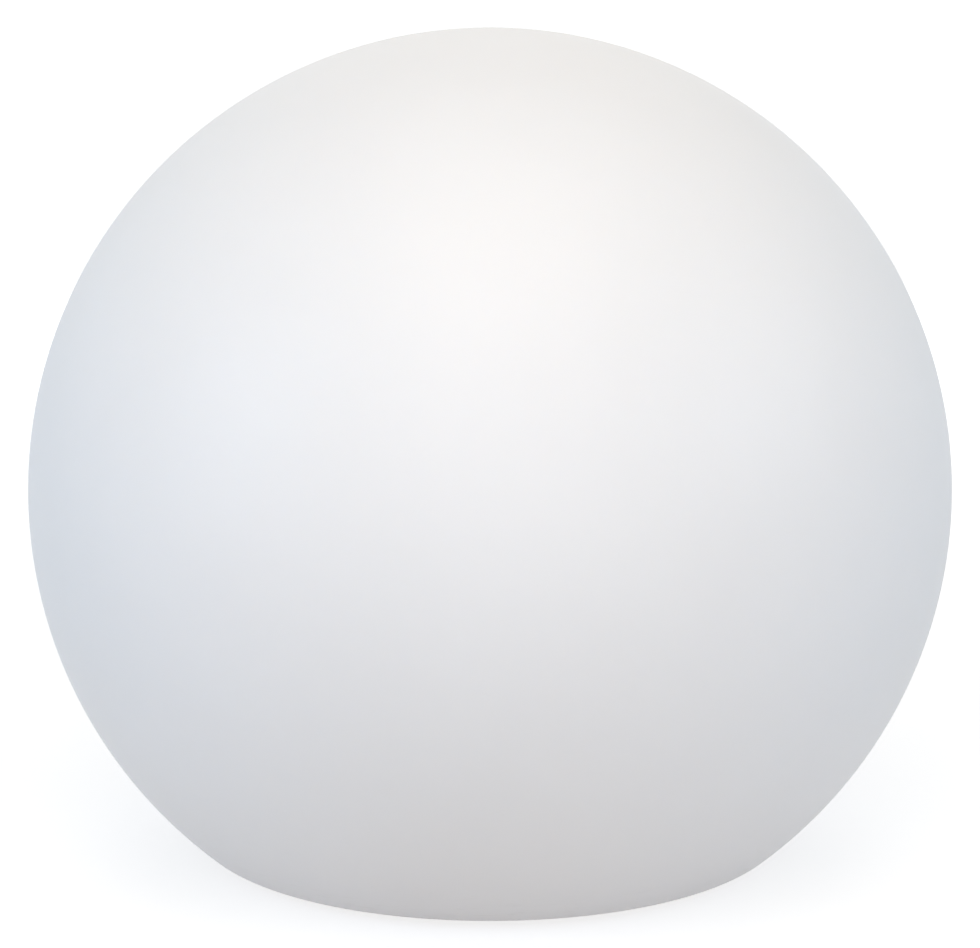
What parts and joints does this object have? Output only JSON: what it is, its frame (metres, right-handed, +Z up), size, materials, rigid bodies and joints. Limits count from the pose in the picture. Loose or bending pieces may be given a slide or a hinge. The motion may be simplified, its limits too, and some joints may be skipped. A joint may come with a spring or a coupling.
{
  "type": "garden globe light",
  "caption": "Milky white globe light with a flat base for garden or patio; a rechargeable light module screws into a pocket underneath.",
  "frame": {"origin": "on the ground, under the middle of the globe", "axes": "+Z up; front towards -Y; the charging port lies towards +Y from the middle, the power button towards -Y"},
  "size_m": [0.4, 0.4, 0.3585],
  "materials": {
    "globe_plastic": "satin milky white, translucent, very slight moulding texture",
    "brass_insert": "machined",
    "neck_plastic": "fine moulded texture, light grey",
    "gasket_rubber": "smooth, black",
    "steel_screw": "bright zinc-plated",
    "pad_rubber": "matt, dark grey",
    "housing_plastic": "satin, off-white",
    "seal_silicone": "smooth, brick red silicone",
    "cover_plastic": "fine moulded texture, dark grey",
    "black_plastic": "moulded, black",
    "nickel": "nickel-plated",
    "lead_insulation": "smooth insulation, red and black",
    "clear_plastic": "clear, polished",
    "ir_plastic": "dark infra-red window, glossy",
    "vent_plastic": "moulded, black",
    "board_green": "solder-masked laminate",
    "component_black": "moulded chip bodies, cans and coil",
    "connector_white": "moulded, natural white",
    "spring_steel": "bright wire",
    "cradle_plastic": "moulded, black",
    "cell_wrap": "blue shrink wrap over a steel can",
    "strap_fabric": "woven, black",
    "spreader_aluminium": "milled",
    "board_white": "white solder-masked metal-core board",
    "led_plastic": "white package with yellow phosphor",
    "dome_plastic": "frosted white diffuser",
    "ring_plastic": "fine moulded texture, dark grey",
    "button_plastic": "satin, light grey"
  },
  "bodies": {
    "globe": {"globe_shell": "globe_plastic", "threaded_inserts": "brass_insert", "neck_ring": "neck_plastic", "neck_gasket": "gasket_rubber", "neck_screws": "steel_screw", "foot_pads": "pad_rubber"},
    "module": {"module_housing": "housing_plastic", "module_gasket": "seal_silicone", "base_cover": "cover_plastic", "cover_seal": "seal_silicone", "cover_screws": "steel_screw", "charge_socket": "black_plastic", "socket_nut": "nickel", "socket_leads": "lead_insulation", "indicator_lens": "clear_plastic", "ir_window": "ir_plastic", "ir_receiver": "black_plastic", "vent_plug": "vent_plastic", "control_board": "board_green", "board_components": "component_black", "board_connectors": "connector_white", "lead_plugs": "connector_white", "board_screws": "steel_screw", "push_switch": "black_plastic", "button_spring": "spring_steel", "battery_cradle": "cradle_plastic", "cradle_screws": "steel_screw", "battery_cells": "cell_wrap", "battery_tabs": "nickel", "battery_straps": "strap_fabric", "protection_board": "board_green", "battery_leads": "lead_insulation", "heat_spreader": "spreader_aluminium", "led_board": "board_white", "leds": "led_plastic", "led_board_screws": "steel_screw", "led_leads": "lead_insulation", "dome_gasket": "seal_silicone", "diffuser_dome": "dome_plastic", "flap_pin": "steel_screw"},
    "lock_ring": {"lock_ring": "ring_plastic"},
    "power_button": {"power_button": "button_plastic", "switch_plunger": "black_plastic"},
    "port_flap": {"port_flap": "cover_plastic", "flap_seal": "seal_silicone"}
  },
  "joints": [
    {"name": "module_drop", "type": "slide", "parent": "globe", "child": "module", "axis": [0, 0, -1], "range_m": [0, 0.009]},
    {"name": "lock_ring_turn", "type": "hinge", "parent": "module", "child": "lock_ring", "pos_m": [0, 0, 0.024], "axis": [0, 0, -1], "range_deg": [0, 540]},
    {"name": "power_button_press", "type": "slide", "parent": "module", "child": "power_button", "axis": [0, 0, 1], "range_m": [0, 0.0012], "stiffness_N_per_m": 1200, "springref_m": -0.0004, "deforming": ["button_spring"]},
    {"name": "port_flap_swing", "type": "hinge", "parent": "module", "child": "port_flap", "pos_m": [0, 0.027, 0.0134], "axis": [1, 0, 0], "range_deg": [0, 110]}
  ],
  "couplings": [
    {"joint": "module_drop", "follows": "lock_ring_turn", "m_per_rad": 0.00095492}
  ]
}
